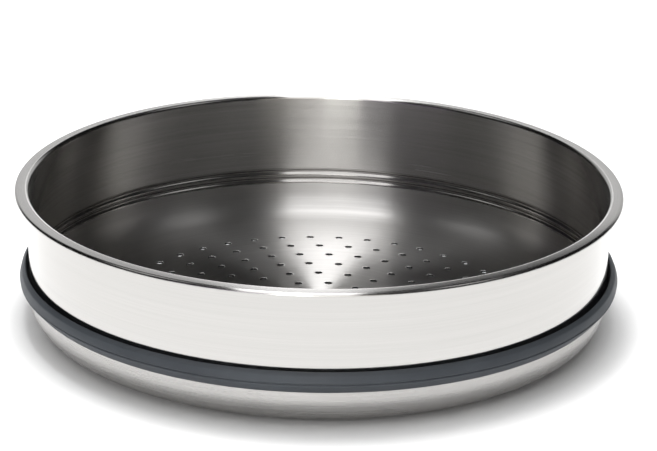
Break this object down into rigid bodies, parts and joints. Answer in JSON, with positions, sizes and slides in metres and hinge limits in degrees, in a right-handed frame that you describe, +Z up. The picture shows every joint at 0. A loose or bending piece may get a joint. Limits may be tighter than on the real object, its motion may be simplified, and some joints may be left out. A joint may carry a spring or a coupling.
{
  "type": "steamer insert",
  "caption": "Shallow round steamer insert: a deep-drawn steel bowl with a perforated domed base, a flat curled rim and a removable silicone sealing ring around its lower wall.",
  "frame": {"origin": "centre of the flat ring around the base that the insert stands on, at floor level", "axes": "+Z up, along the axis of the bowl; +X to the right and +Y away from a viewer at the front"},
  "size_m": [0.291, 0.291, 0.0666],
  "materials": {
    "stainless_steel": "satin",
    "silicone": "matte"
  },
  "bodies": {
    "ring": {"sealing_ring": "silicone"},
    "insert": {"steamer_insert": "stainless_steel"}
  },
  "joints": [
    {"name": "ring_removal", "type": "slide", "parent": "ring", "child": "insert", "axis": [0, 0, 1], "range_m": [0, 0.04]}
  ]
}
